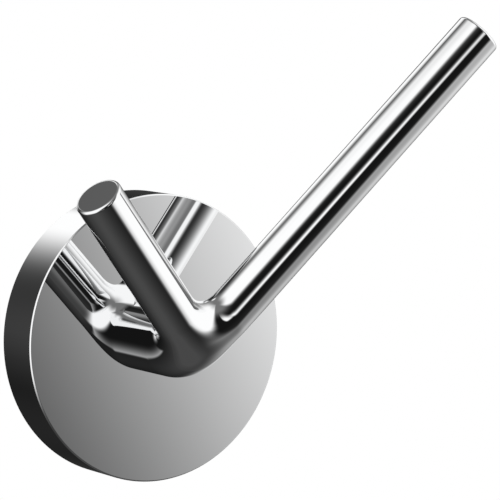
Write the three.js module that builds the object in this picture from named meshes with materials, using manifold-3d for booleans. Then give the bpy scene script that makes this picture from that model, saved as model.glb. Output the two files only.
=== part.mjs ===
// Double wall hook: a chromed rosette carries one cast hook with a short prong and a long prong,
// and slips over a zinc bracket that two screws hold to the wall.
// Millimetres, +Z up. The wall is the plane y = 0, the room lies on the -Y side,
// and the origin is the middle of the bracket on the wall.

import * as THREE from "three";
import { mergeVertices } from "three/addons/utils/BufferGeometryUtils.js";
import Module from "manifold-3d";

const wasm = await Module();
wasm.setup();

// Rosette, a turned cup that is open to the wall
const ROSETTE_DIAMETER = 50;
const ROSETTE_DEPTH = 9.3;
const ROSETTE_FACE = 2.6;
const ROSETTE_WALL = 2.2;
const ROSETTE_EDGE = 0.2;

// Boss inside the rosette's rim, at the bottom, with the thread of the grub screw
const BOSS_WIDTH = 10;
const BOSS_REACH = 3.8;
const BOSS_SETBACK = 0.8;

// Hook: two round rods that share a neck, a little below the rosette's middle, and bend apart into prongs.
// A fillet fills the fork between them, and behind the fork they swell to the neck.
const PRONG_DIAMETER = 8.15;
const PRONG_EDGE = 0.5;
const SHORT_LENGTH = 36;
const SHORT_SPREAD_DEG = 39.2;
const SHORT_LEAN_DEG = 8.6;
const SHORT_BEND = 8.3;
const LONG_LENGTH = 73.5;
const LONG_SPREAD_DEG = 42.85;
const LONG_LEAN_DEG = 10.5;
const LONG_BEND = 9.2;
const FORK_REACH = 13.05;
const FORK_FILLET = 5.2;
const NECK_DIAMETER = 11.3;
const NECK_TAPER = 8;
const HOOK_DROP = 0.4;

// Spigot under the neck: its flat stops the hook from turning in the rosette
const SPIGOT_DIAMETER = 8;
const SPIGOT_FLAT = 3.2;
const SPIGOT_SHORT = 0.2;

// Screw, lock washer and flat washer that hold the hook from inside the rosette
const HOOK_SCREW_THREAD = 5;
const HOOK_SCREW_LENGTH = 12;
const HOOK_SCREW_HEAD = 9.5;
const HOOK_SCREW_HEAD_HEIGHT = 2.5;
const HOOK_SCREW_HEAD_FLAT = 5.6;
const HOOK_SCREW_HEAD_EDGE = 0.6;
const HOOK_SCREW_POINT = 0.75;
const HOOK_SCREW_KEY = 3;
const HOOK_SCREW_KEY_DEPTH = 1.5;
const HOOK_WASHER_DIAMETER = 10;
const HOOK_WASHER_THICKNESS = 1;
const LOCK_WASHER_DIAMETER = 9.2;
const LOCK_WASHER_THICKNESS = 1.2;
const LOCK_WASHER_SPLIT = 0.8;
const HOOK_BORE_RUNOUT = 1;

// Bracket on the wall
const BRACKET_EDGE = 0.8;
const BRACKET_SEAT = 2;
const WALL_SCREW_PITCH = 23;
const WALL_SCREW_HOLE = 5.5;

// Grub screw that clamps the rosette to the bracket from below
const GRUB_THREAD = 4;
const GRUB_LENGTH = 5;
const GRUB_POINT = 1;
const GRUB_CHAMFER = 0.4;
const GRUB_KEY = 2;
const GRUB_KEY_DEPTH = 2.5;
const GRUB_FROM_WALL = 3.9;

// Wall screws with washers, in split plugs
const WALL_SCREW_DIAMETER = 3.5;
const WALL_SCREW_LENGTH = 30;
const WALL_SCREW_POINT = 4;
const WALL_SCREW_HEAD = 7;
const WALL_SCREW_HEAD_HEIGHT = 2.4;
const WALL_SCREW_HEAD_FLAT = 4.4;
const WALL_SCREW_HEAD_EDGE = 1;
const WALL_SCREW_CROSS_WIDTH = 0.9;
const WALL_SCREW_CROSS_LENGTH = 3.5;
const WALL_SCREW_CROSS_DEPTH = 1.2;
const WALL_WASHER_DIAMETER = 8.5;
const WALL_WASHER_THICKNESS = 0.8;
const PLUG_DIAMETER = 5;
const PLUG_LENGTH = 25;
const PLUG_COLLAR = 6;
const PLUG_SLOT = 0.8;
const PLUG_BARBS = 4;
const PLUG_BARB_DEPTH = 0.25;

// Clearances
const THREAD_PLAY = 0.1;
const WASHER_PLAY = 0.2;
const SPIGOT_PLAY = 0.1;
const RIM_PLAY = 0.5;
const FACE_PLAY = 1.2;
const NOTCH_PLAY = 0.4;
const POCKET_PLAY = 0.75;
const HEAD_PLAY = 0.5;
const COUNTERBORE_PLAY = 0.25;
const GRUB_TIP_PLAY = 0.1;

// How far a cutter runs past what it cuts
const CUT_PAST = 1;

// How finely round things are cut
const ROUND = 64;
const SMALL_ROUND = 32;
const SEAM_STEPS = 16;
const SKIN_RINGS = 11;
const EDGE_STEPS = 3;
const DOME_STEPS = 4;
const MARCH_STEPS = 60;

// Exponent of the fillet's section: 2 is an arc, a little more starts softer
const FILLET_POWER = 2.25;

// Places that follow from the sizes above; y runs towards the wall
const FACE_Y = -ROSETTE_DEPTH;
const INNER_FACE_Y = FACE_Y + ROSETTE_FACE;
const RIM_INNER = ROSETTE_DIAMETER / 2 - ROSETTE_WALL;
const BOSS_FACE = RIM_INNER - BOSS_REACH;
const HOOK_WASHER_Y = INNER_FACE_Y + HOOK_WASHER_THICKNESS;
const HOOK_HEAD_Y = HOOK_WASHER_Y + LOCK_WASHER_THICKNESS;
const HOOK_HEAD_BACK_Y = HOOK_HEAD_Y + HOOK_SCREW_HEAD_HEIGHT;
const HOOK_BORE_END_Y = HOOK_HEAD_Y - HOOK_SCREW_LENGTH - HOOK_BORE_RUNOUT;
const BRACKET_RADIUS = RIM_INNER - RIM_PLAY;
const BRACKET_FACE_Y = INNER_FACE_Y + FACE_PLAY;
const POCKET_FLOOR_Y = HOOK_HEAD_BACK_Y + HEAD_PLAY;
const NOTCH_FLOOR = BOSS_FACE - NOTCH_PLAY;
const GRUB_TIP = NOTCH_FLOOR + GRUB_TIP_PLAY;

// Fork point, where the axes of the two prongs and of the neck cross in front of the rosette
const FORK = new THREE.Vector3(0, FACE_Y - FORK_REACH, -HOOK_DROP);

// Where the rods lie on each other the fillet thickens them, and a swell makes up the rest of the neck
const FILLET_GAIN = FORK_FILLET * (1 - 2 ** (-1 / FILLET_POWER));
const NECK_SWELL = (NECK_DIAMETER - PRONG_DIAMETER) / 2 - FILLET_GAIN;

// A material for each finish
const chrome = () => new THREE.MeshStandardMaterial({ color: 0xd9dbde, metalness: 1, roughness: 0.05 });
const zinc = () => new THREE.MeshStandardMaterial({ color: 0x9b9da0, metalness: 1, roughness: 0.55 });
const steel = () => new THREE.MeshStandardMaterial({ color: 0xb9bcc0, metalness: 1, roughness: 0.3 });
const blackSteel = () => new THREE.MeshStandardMaterial({ color: 0x2b2b2d, metalness: 1, roughness: 0.45 });
const nylon = () => new THREE.MeshStandardMaterial({ color: 0x9a9c9d, metalness: 0, roughness: 0.6 });

// A closed geometry as a solid that can be joined and cut
function solidOf(geometry) {
  const bare = geometry.clone();
  bare.deleteAttribute("normal");
  bare.deleteAttribute("uv");
  const merged = mergeVertices(bare, 1e-4);
  const vertProperties = new Float32Array(merged.attributes.position.array);
  const triVerts = new Uint32Array(merged.index.array);
  return new wasm.Manifold(new wasm.Mesh({ numProp: 3, vertProperties, triVerts }));
}

function geometryOf(solid) {
  const mesh = solid.getMesh();
  const geometry = new THREE.BufferGeometry();
  geometry.setAttribute("position", new THREE.BufferAttribute(mesh.vertProperties, 3));
  geometry.setIndex(new THREE.BufferAttribute(mesh.triVerts, 1));
  geometry.computeVertexNormals();
  return geometry;
}

function join(...geometries) {
  return geometryOf(geometries.map(solidOf).reduce((all, next) => all.add(next)));
}

// The first geometry with all the others cut out of it
function cut(...geometries) {
  return geometryOf(geometries.map(solidOf).reduce((body, tool) => body.subtract(tool)));
}

// A turned shape about the Y axis; the profile lists radius and y from the room side to the wall side
function turned(profile, segments = SMALL_ROUND) {
  const points = profile.map(([radius, y]) => new THREE.Vector2(radius, y));
  return new THREE.LatheGeometry(points, segments);
}

// A flat ring about the Y axis, from y = 0 to y = thickness
function ring(inner, outer, thickness, segments = SMALL_ROUND) {
  return turned(
    [
      [inner, 0],
      [outer, 0],
      [outer, thickness],
      [inner, thickness],
      [inner, 0],
    ],
    segments,
  );
}

// A round bar along Y between two places, on an axis at the given height
function barAlongY(radius, fromY, toY, z = 0, segments = SMALL_ROUND) {
  const bar = new THREE.CylinderGeometry(radius, radius, toY - fromY, segments);
  return bar.translate(0, (fromY + toY) / 2, z);
}

// A block between two corners
function block(low, high) {
  const size = high.map((value, i) => value - low[i]);
  const middle = high.map((value, i) => (value + low[i]) / 2);
  return new THREE.BoxGeometry(...size).translate(...middle);
}

// An outline in x and z drawn out along Y between two places, with its middle at the given height
function prismAlongY(shape, fromY, toY, z) {
  const options = { depth: toY - fromY, bevelEnabled: false, curveSegments: SMALL_ROUND };
  return new THREE.ExtrudeGeometry(shape, options).rotateX(Math.PI / 2).translate(0, toY, z);
}

// A circle with one flat at the bottom, for the spigot and for its hole
function flattedCircle(radius, flat) {
  const half = Math.acos(flat / radius);
  const shape = new THREE.Shape();
  shape.absarc(0, 0, radius, -Math.PI / 2 + half, (Math.PI * 3) / 2 - half, false);
  shape.closePath();
  return shape;
}

// Unit vector of a prong that spreads sideways from upright and leans out from the wall
function prongAxis(side, spread, lean) {
  const sideways = THREE.MathUtils.degToRad(spread);
  const outwards = THREE.MathUtils.degToRad(lean);
  return new THREE.Vector3(
    side * Math.sin(sideways) * Math.cos(outwards),
    -Math.sin(outwards),
    Math.cos(sideways) * Math.cos(outwards),
  );
}

const SHORT_AXIS = prongAxis(-1, SHORT_SPREAD_DEG, SHORT_LEAN_DEG);
const LONG_AXIS = prongAxis(1, LONG_SPREAD_DEG, LONG_LEAN_DEG);
const NECK_AXIS = new THREE.Vector3(0, 1, 0);

// Distance from a point to an endless round rod that comes straight out from the wall along the neck,
// bends near the fork by an arc of the given radius and runs on along a prong's axis
function rodDistance(point, axis, bend) {
  const outAxis = NECK_AXIS.clone().negate();
  const turn = outAxis.angleTo(axis);
  const sideAxis = axis.clone().addScaledVector(outAxis, -Math.cos(turn)).normalize();
  const bendReach = bend * Math.tan(turn / 2);
  const offset = point.clone().sub(FORK);
  const out = offset.dot(outAxis);
  const side = offset.dot(sideAxis);
  const beside = offset.addScaledVector(outAxis, -out).addScaledVector(sideAxis, -side).length();

  // In the plane of the bend: distance to the straight neck, to the straight prong and to the arc
  const toNeck = Math.hypot(side, Math.max(out + bendReach, 0));
  const along = out * Math.cos(turn) + side * Math.sin(turn);
  const toProng = Math.hypot(out * Math.sin(turn) - side * Math.cos(turn), Math.max(bendReach - along, 0));
  const round = Math.atan2(out + bendReach, bend - side);
  const besideArc = round < 0 || round > turn;
  const toArc = besideArc ? Infinity : Math.abs(Math.hypot(out + bendReach, bend - side) - bend);
  const swell = NECK_SWELL * THREE.MathUtils.smoothstep(-out, 0, NECK_TAPER);
  return Math.hypot(Math.min(toNeck, toProng, toArc), beside) - PRONG_DIAMETER / 2 - swell;
}

// Union of two distances with a rounded fillet of the given radius
function filletUnion(a, b, radius) {
  const short = Math.max(radius - a, 0) ** FILLET_POWER + Math.max(radius - b, 0) ** FILLET_POWER;
  return Math.max(radius, Math.min(a, b)) - short ** (1 / FILLET_POWER);
}

function hookDistance(point) {
  const short = rodDistance(point, SHORT_AXIS, SHORT_BEND);
  const long = rodDistance(point, LONG_AXIS, LONG_BEND);
  return filletUnion(short, long, FORK_FILLET);
}

// The point where a ray from inside the hook comes out of it
function skinPoint(from, direction) {
  let reach = 0;
  const point = from.clone();
  for (let step = 0; step < MARCH_STEPS; step++) {
    reach -= hookDistance(point);
    point.copy(from).addScaledVector(direction, reach);
  }
  return point;
}

// The hook's skin is three tubes, one for each branch. Two branches meet in the plane that halves the
// angle between them, and the three planes share one line through the fork point.
function hookSkin() {
  const branches = [
    { axis: SHORT_AXIS, length: SHORT_LENGTH, edge: PRONG_EDGE },
    { axis: LONG_AXIS, length: LONG_LENGTH, edge: PRONG_EDGE },
    { axis: NECK_AXIS, length: FORK_REACH, edge: 0 },
  ];
  const shortToLong = SHORT_AXIS.clone().sub(LONG_AXIS);
  const longToNeck = LONG_AXIS.clone().sub(NECK_AXIS);
  const poles = shortToLong.cross(longToNeck).normalize();

  // Skin points from one pole to the other in the half plane between two branches, away from the third
  function seam(first, second, third) {
    const outwards = first.axis.clone().sub(second.axis).cross(poles).normalize();
    if (outwards.dot(first.axis) < outwards.dot(third.axis)) outwards.negate();
    return Array.from({ length: SEAM_STEPS + 1 }, (_, i) => {
      const turn = (Math.PI * i) / SEAM_STEPS;
      const direction = poles.clone().multiplyScalar(Math.cos(turn));
      return skinPoint(FORK, direction.addScaledVector(outwards, Math.sin(turn)));
    });
  }

  const seams = [
    [null, seam(branches[0], branches[1], branches[2]), seam(branches[2], branches[0], branches[1])],
    [null, null, seam(branches[1], branches[2], branches[0])],
  ];
  const seamBetween = (i, j) => seams[Math.min(i, j)][Math.max(i, j)];
  const positions = [];
  const triangles = [];

  branches.forEach((branch, i) => {
    const { axis, length, edge } = branch;
    const first = seamBetween(i, (i + 1) % 3);
    const second = seamBetween(i, (i + 2) % 3);
    const turnsLeft = first[SEAM_STEPS / 2].clone().sub(FORK).cross(poles).dot(axis) < 0;
    const [there, back] = turnsLeft ? [first, second] : [second, first];
    const start = [...there.slice(0, -1), ...back.slice(1).reverse()];
    const across = start.map((point) => {
      const offset = point.clone().sub(FORK);
      return offset.addScaledVector(axis, -offset.dot(axis)).normalize();
    });
    const starts = start.map((point) => point.clone().sub(FORK).dot(axis));
    const rings = [start];

    // Rings that close up towards the fork, where the skin bends most
    for (let step = 1; step <= SKIN_RINGS; step++) {
      const share = (step / SKIN_RINGS) ** 2;
      const end = length - edge;
      rings.push(
        starts.map((from, k) => {
          const centre = FORK.clone().addScaledVector(axis, from + (end - from) * share);
          return skinPoint(centre, across[k]);
        }),
      );
    }

    // The rounded edge of a prong's flat end
    for (let step = 1; edge > 0 && step <= EDGE_STEPS; step++) {
      const turn = (Math.PI / 2) * (step / EDGE_STEPS);
      const radius = PRONG_DIAMETER / 2 - edge * (1 - Math.cos(turn));
      const centre = FORK.clone().addScaledVector(axis, length - edge * (1 - Math.sin(turn)));
      rings.push(across.map((direction) => centre.clone().addScaledVector(direction, radius)));
    }

    const offset = positions.length / 3;
    const count = start.length;
    rings.flat().forEach((point) => positions.push(...point));
    positions.push(...FORK.clone().addScaledVector(axis, length));
    for (let row = 0; row < rings.length - 1; row++) {
      for (let k = 0; k < count; k++) {
        const a = offset + row * count + k;
        const b = offset + row * count + ((k + 1) % count);
        triangles.push(a, b, b + count, a, b + count, a + count);
      }
    }
    const last = offset + (rings.length - 1) * count;
    for (let k = 0; k < count; k++) triangles.push(last + k, last + ((k + 1) % count), last + count);
  });

  const geometry = new THREE.BufferGeometry();
  geometry.setAttribute("position", new THREE.Float32BufferAttribute(positions, 3));
  geometry.setIndex(triangles);
  return geometry;
}

function doubleHook() {
  const spigotShape = flattedCircle(SPIGOT_DIAMETER / 2, SPIGOT_FLAT);
  const spigot = prismAlongY(spigotShape, FACE_Y - CUT_PAST, INNER_FACE_Y - SPIGOT_SHORT, FORK.z);
  const bore = barAlongY(HOOK_SCREW_THREAD / 2 + THREAD_PLAY, HOOK_BORE_END_Y, INNER_FACE_Y, FORK.z);
  return cut(join(hookSkin(), spigot), bore);
}

function rosette() {
  const radius = ROSETTE_DIAMETER / 2;
  const cup = turned(
    [
      [0, FACE_Y],
      [radius - ROSETTE_EDGE, FACE_Y],
      [radius, FACE_Y + ROSETTE_EDGE],
      [radius, 0],
      [RIM_INNER, 0],
      [RIM_INNER, INNER_FACE_Y],
      [0, INNER_FACE_Y],
    ],
    ROUND,
  );
  const intoWall = RIM_INNER + ROSETTE_WALL / 2;
  const intoFace = INNER_FACE_Y - ROSETTE_FACE / 2;
  const boss = block([-BOSS_WIDTH / 2, intoFace, -intoWall], [BOSS_WIDTH / 2, -BOSS_SETBACK, -BOSS_FACE]);
  const holeShape = flattedCircle(SPIGOT_DIAMETER / 2 + SPIGOT_PLAY, SPIGOT_FLAT + SPIGOT_PLAY);
  const spigotHole = prismAlongY(holeShape, FACE_Y - CUT_PAST, INNER_FACE_Y + CUT_PAST, FORK.z);
  const threadRadius = GRUB_THREAD / 2 + THREAD_PLAY;
  const thread = barAlongY(threadRadius, BOSS_FACE - CUT_PAST, radius + CUT_PAST);
  thread.rotateX(-Math.PI / 2).translate(0, -GRUB_FROM_WALL, 0);
  return cut(join(cup, boss), spigotHole, thread);
}

function wallBracket() {
  const disc = turned(
    [
      [0, BRACKET_FACE_Y],
      [BRACKET_RADIUS - BRACKET_EDGE, BRACKET_FACE_Y],
      [BRACKET_RADIUS, BRACKET_FACE_Y + BRACKET_EDGE],
      [BRACKET_RADIUS, 0],
      [0, 0],
    ],
    ROUND,
  );
  const front = BRACKET_FACE_Y - CUT_PAST;
  const pocket = barAlongY(HOOK_SCREW_HEAD / 2 + POCKET_PLAY, front, POCKET_FLOOR_Y, FORK.z);
  const notchSide = BOSS_WIDTH / 2 + NOTCH_PLAY;
  const notch = block([-notchSide, front, -BRACKET_RADIUS - CUT_PAST], [notchSide, CUT_PAST, -NOTCH_FLOOR]);
  const counterbore = WALL_WASHER_DIAMETER / 2 + COUNTERBORE_PLAY;
  const screwCuts = [WALL_SCREW_PITCH / 2, -WALL_SCREW_PITCH / 2].flatMap((z) => [
    barAlongY(counterbore, front, -BRACKET_SEAT, z),
    barAlongY(WALL_SCREW_HOLE / 2, front, CUT_PAST, z),
  ]);
  return cut(disc, pocket, notch, ...screwCuts);
}

// Profile of a domed screw head from its flat top, on the -Y side, down to its edge
function domedHead(diameter, height, flat, edge) {
  return Array.from({ length: DOME_STEPS + 1 }, (_, i) => {
    const turn = (Math.PI / 2) * (i / DOME_STEPS);
    const radius = flat / 2 + ((diameter - flat) / 2) * Math.sin(turn);
    return [radius, -edge - (height - edge) * Math.cos(turn)];
  });
}

// A hexagon socket that is open on the -Y side at the given place
function hexagonSocket(key, openY, depth) {
  return barAlongY(key / Math.sqrt(3), openY - CUT_PAST, openY + depth, 0, 6);
}

// Screw with its head's seat at y = 0 and its head on the -Y side
function hookScrew() {
  const shank = HOOK_SCREW_THREAD / 2;
  const body = turned([
    [0, -HOOK_SCREW_HEAD_HEIGHT],
    ...domedHead(HOOK_SCREW_HEAD, HOOK_SCREW_HEAD_HEIGHT, HOOK_SCREW_HEAD_FLAT, HOOK_SCREW_HEAD_EDGE),
    [HOOK_SCREW_HEAD / 2, 0],
    [shank, 0],
    [shank, HOOK_SCREW_LENGTH - HOOK_SCREW_POINT],
    [shank - HOOK_SCREW_POINT, HOOK_SCREW_LENGTH],
    [0, HOOK_SCREW_LENGTH],
  ]);
  return cut(body, hexagonSocket(HOOK_SCREW_KEY, -HOOK_SCREW_HEAD_HEIGHT, HOOK_SCREW_KEY_DEPTH));
}

// Ring with one split, as a lock washer lies when it is tightened flat
function lockWasher() {
  const outer = LOCK_WASHER_DIAMETER / 2;
  const inner = HOOK_SCREW_THREAD / 2 + WASHER_PLAY;
  const half = LOCK_WASHER_SPLIT / 2;
  const split = block([0, -CUT_PAST, -half], [outer + CUT_PAST, LOCK_WASHER_THICKNESS + CUT_PAST, half]);
  return cut(ring(inner, outer, LOCK_WASHER_THICKNESS), split);
}

// Wall screw with its head's seat at y = 0, its head on the -Y side and its point in the wall
function wallScrew() {
  const shank = WALL_SCREW_DIAMETER / 2;
  const body = turned([
    [0, -WALL_SCREW_HEAD_HEIGHT],
    ...domedHead(WALL_SCREW_HEAD, WALL_SCREW_HEAD_HEIGHT, WALL_SCREW_HEAD_FLAT, WALL_SCREW_HEAD_EDGE),
    [WALL_SCREW_HEAD / 2, 0],
    [shank, 0],
    [shank, WALL_SCREW_LENGTH - WALL_SCREW_POINT],
    [0, WALL_SCREW_LENGTH],
  ]);
  const top = -WALL_SCREW_HEAD_HEIGHT;
  const half = [WALL_SCREW_CROSS_LENGTH / 2, WALL_SCREW_CROSS_WIDTH / 2];
  const slot = block([-half[0], top - CUT_PAST, -half[1]], [half[0], top + WALL_SCREW_CROSS_DEPTH, half[1]]);
  return cut(body, slot, slot.clone().rotateY(Math.PI / 2));
}

// Split plug with saw-tooth barbs, its mouth flush with the wall at y = 0
function wallPlug() {
  const outer = PLUG_DIAMETER / 2;
  const inner = WALL_SCREW_DIAMETER / 2 + THREAD_PLAY;
  const pitch = (PLUG_LENGTH - PLUG_COLLAR) / PLUG_BARBS;
  const barbs = Array.from({ length: PLUG_BARBS }, (_, i) => [
    [outer - PLUG_BARB_DEPTH, PLUG_COLLAR + pitch * i],
    [outer, PLUG_COLLAR + pitch * (i + 0.5)],
  ]).flat();
  const sleeve = turned([
    [inner, 0],
    [outer, 0],
    [outer, PLUG_COLLAR - PLUG_BARB_DEPTH],
    ...barbs,
    [outer - PLUG_BARB_DEPTH, PLUG_LENGTH],
    [inner, PLUG_LENGTH],
    [inner, 0],
  ]);
  const half = PLUG_SLOT / 2;
  const side = outer + CUT_PAST;
  const slot = block([-side, PLUG_COLLAR, -half], [side, PLUG_LENGTH + CUT_PAST, half]);
  return cut(sleeve, slot);
}

// Grub screw along Y with its point at y = 0 and its hexagon socket at the other end
function grubScrew() {
  const radius = GRUB_THREAD / 2;
  const body = turned([
    [0, -GRUB_LENGTH],
    [radius - GRUB_CHAMFER, -GRUB_LENGTH],
    [radius, -GRUB_LENGTH + GRUB_CHAMFER],
    [radius, -GRUB_POINT],
    [radius - GRUB_POINT, 0],
    [0, 0],
  ]);
  return cut(body, hexagonSocket(GRUB_KEY, -GRUB_LENGTH, GRUB_KEY_DEPTH));
}

function piece(name, geometry, material, position = [0, 0, 0]) {
  const mesh = new THREE.Mesh(geometry, material);
  mesh.name = name;
  mesh.position.set(...position);
  return mesh;
}

// What stays on the wall
const wallSide = new THREE.Group();
wallSide.add(piece("wall_bracket", wallBracket(), zinc()));
for (const [place, side] of [["upper", 1], ["lower", -1]]) {
  const z = (side * WALL_SCREW_PITCH) / 2;
  const washerY = -BRACKET_SEAT - WALL_WASHER_THICKNESS;
  const washerInner = WALL_SCREW_DIAMETER / 2 + WASHER_PLAY;
  const washer = ring(washerInner, WALL_WASHER_DIAMETER / 2, WALL_WASHER_THICKNESS);
  wallSide.add(piece(`screw_washer_${place}`, washer, steel(), [0, washerY, z]));
  wallSide.add(piece(`wall_screw_${place}`, wallScrew(), steel(), [0, washerY, z]));
  wallSide.add(piece(`wall_plug_${place}`, wallPlug(), nylon(), [0, 0, z]));
}

// What lifts off the bracket in one piece once the grub screw is slack
const cover = new THREE.Group();
cover.add(piece("rosette", rosette(), chrome()));
cover.add(piece("double_hook", doubleHook(), chrome()));
const hookWasher = ring(HOOK_SCREW_THREAD / 2 + WASHER_PLAY, HOOK_WASHER_DIAMETER / 2, HOOK_WASHER_THICKNESS);
cover.add(piece("hook_washer", hookWasher, steel(), [0, INNER_FACE_Y, FORK.z]));
cover.add(piece("hook_lock_washer", lockWasher(), blackSteel(), [0, HOOK_WASHER_Y, FORK.z]));
const hookScrewMesh = piece("hook_screw", hookScrew(), steel(), [0, HOOK_HEAD_Y, FORK.z]);
hookScrewMesh.rotation.z = Math.PI;
cover.add(hookScrewMesh);

const grubMesh = piece("grub_screw", grubScrew(), blackSteel(), [0, -GRUB_FROM_WALL, -GRUB_TIP]);
grubMesh.rotation.x = Math.PI / 2;
cover.add(grubMesh);

const doubleWallHook = new THREE.Group();
doubleWallHook.name = "double_wall_hook";
doubleWallHook.add(wallSide, cover);

export default doubleWallHook;
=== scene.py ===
import math

import bmesh
import bpy
import numpy as np
from bpy.props import FloatProperty, FloatVectorProperty, PointerProperty
from mathutils import Matrix, Vector


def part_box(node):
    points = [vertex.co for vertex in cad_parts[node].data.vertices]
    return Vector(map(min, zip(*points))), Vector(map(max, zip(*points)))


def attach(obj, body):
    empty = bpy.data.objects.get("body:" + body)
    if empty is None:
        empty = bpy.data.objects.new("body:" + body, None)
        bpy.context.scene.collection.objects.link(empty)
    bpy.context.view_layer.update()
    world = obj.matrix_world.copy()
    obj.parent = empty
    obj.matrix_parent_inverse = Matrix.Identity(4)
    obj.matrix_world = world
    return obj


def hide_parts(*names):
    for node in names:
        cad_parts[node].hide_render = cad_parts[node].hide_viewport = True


bl_info = {
    "name": "Double wall hook",
    "version": (1, 0, 0),
    "blender": (4, 5, 0),
    "location": "3D View > Sidebar > Wall hook",
    "description": "Dresses the packed solids of a chromed double wall hook and sets up its studio",
    "category": "Add Mesh",
}

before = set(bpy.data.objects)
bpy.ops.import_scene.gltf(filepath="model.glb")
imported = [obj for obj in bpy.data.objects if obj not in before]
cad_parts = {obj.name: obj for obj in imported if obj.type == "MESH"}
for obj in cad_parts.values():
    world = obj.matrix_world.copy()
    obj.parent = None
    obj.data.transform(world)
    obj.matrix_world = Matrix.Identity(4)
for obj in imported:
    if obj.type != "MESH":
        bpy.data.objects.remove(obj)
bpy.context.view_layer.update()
# How far a cutting tool stands past the face that it cuts
CUT_PAST = 0.001
# Points that are closer are one point, on a new mesh and on a cut one
WELD = 1e-7
CUT_WELD = 1e-6
# Keeps a division from running out of range
TINY = 1e-6
# Edges sharper than this stay crisp
CRISP_ANGLE = math.radians(35)
# Points round each turned shape
ROSETTE_TURN = 288
BRACKET_TURN = 192
WASHER_TURN = 96
PLUG_TURN = 80
SCREW_TURN = 72
TOOL_TURN = 64
# Screw sockets: widths as shares of the outline, straight depth as a share of the whole
SOCKET_MOUTH = 1.03
SOCKET_FLOOR = 0.94
SOCKET_STRAIGHT = 0.9
SOCKET_CONE = 0.35
# Machine threads: depth as a share of the pitch, chamfer as a share of the radius
MACHINE_THREAD_DEPTH = 0.6
MACHINE_CHAMFER = 0.3
# From the screen's scale, on which the studio's greys are given, to light
SCREEN_FOOT = 0.052
SCREEN_POWER = 2.4


def span(node):
    """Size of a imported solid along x, y and z."""
    low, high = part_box(node)
    return high - low


def middle(node):
    """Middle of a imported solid's box."""
    low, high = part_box(node)
    return (low + high) / 2


def length(name, description, default):
    """A size in metres."""
    return FloatProperty(
        name=name, description=description, default=default, min=0, precision=5, unit="LENGTH"
    )


def angle(name, description, degrees):
    """An angle that is written in degrees and kept in radians."""
    return FloatProperty(name=name, description=description, default=math.radians(degrees), unit="ROTATION")


def colour(name, description, default):
    """A colour in linear light."""
    return FloatVectorProperty(
        name=name, description=description, default=default, size=3, min=0, max=1, subtype="COLOR"
    )


def factor(name, description, default):
    """A plain share or strength."""
    return FloatProperty(name=name, description=description, default=default, min=0, soft_max=2)


class RosetteSizes(bpy.types.PropertyGroup):
    """Sizes of the chromed cup on the wall."""

    diameter: length("Diameter", "Across the rosette", span("rosette").x)
    depth: length("Depth", "From the wall to the mirror face", span("rosette").y)
    face: length("Face", "Thickness of the mirror face", 0.0026)
    wall: length("Wall", "Thickness of the rim", 0.0022)
    chamfer: length("Chamfer", "Width of the bright edge round the face", 0.0002)
    softening: length("Softening", "Radius that polishing leaves on the edges", 0.00006)
    inner_corner: length("Inner corner", "Radius inside the cup, between rim and face", 0.0005)
    boss_width: length("Boss width", "Across the boss behind the grub screw's hole", 0.010)
    boss_reach: length("Boss reach", "How far the boss stands in from the rim", 0.0038)
    boss_setback: length("Boss setback", "From the wall to the boss", 0.0008)


class HookSizes(bpy.types.PropertyGroup):
    """Sizes of the forked hook."""

    prong_diameter: length("Prong diameter", "Across each round prong", 0.00815)
    prong_edge: length("Prong edge", "Radius round the flat end of a prong", 0.0005)
    short_length: length("Short prong", "From the fork point to the end", 0.036)
    short_spread: angle("Short spread", "Sideways from upright", 39.2)
    short_lean: angle("Short lean", "Out from the wall", 8.6)
    short_bend: length("Short bend", "Radius by which the neck bends into the short prong", 0.0083)
    long_length: length("Long prong", "From the fork point to the end", 0.0735)
    long_spread: angle("Long spread", "Sideways from upright", 42.85)
    long_lean: angle("Long lean", "Out from the wall", 10.5)
    long_bend: length("Long bend", "Radius by which the neck bends into the long prong", 0.0092)
    fork_reach: length("Fork reach", "From the mirror face to the fork point", 0.01305)
    fork_fillet: length("Fork fillet", "Radius of the fillet between the prongs", 0.0052)
    fillet_power: factor("Fillet power", "2 makes its section an arc, more starts softer", 2.25)
    drop: length("Drop", "From the rosette's middle down to the neck's axis", -middle("hook_washer").z)
    neck_diameter: length("Neck diameter", "Across the round neck", 0.0113)
    neck_taper: length("Neck taper", "From the fork point back to the neck's full width", 0.008)
    spigot_diameter: length("Spigot diameter", "Across the spigot in the rosette", 0.008)
    spigot_flat: length("Spigot flat", "From the spigot's axis to its flat", 0.0032)
    spigot_play: length("Spigot play", "Gap round the spigot", 0.0001)
    spigot_short: length("Spigot short", "How far the spigot ends inside the face", 0.0002)
    bore_diameter: length("Bore", "Across the bore for the screw", 0.0052)
    bore_depth: length("Bore depth", "From the face's inside into the neck", 0.0108)


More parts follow.
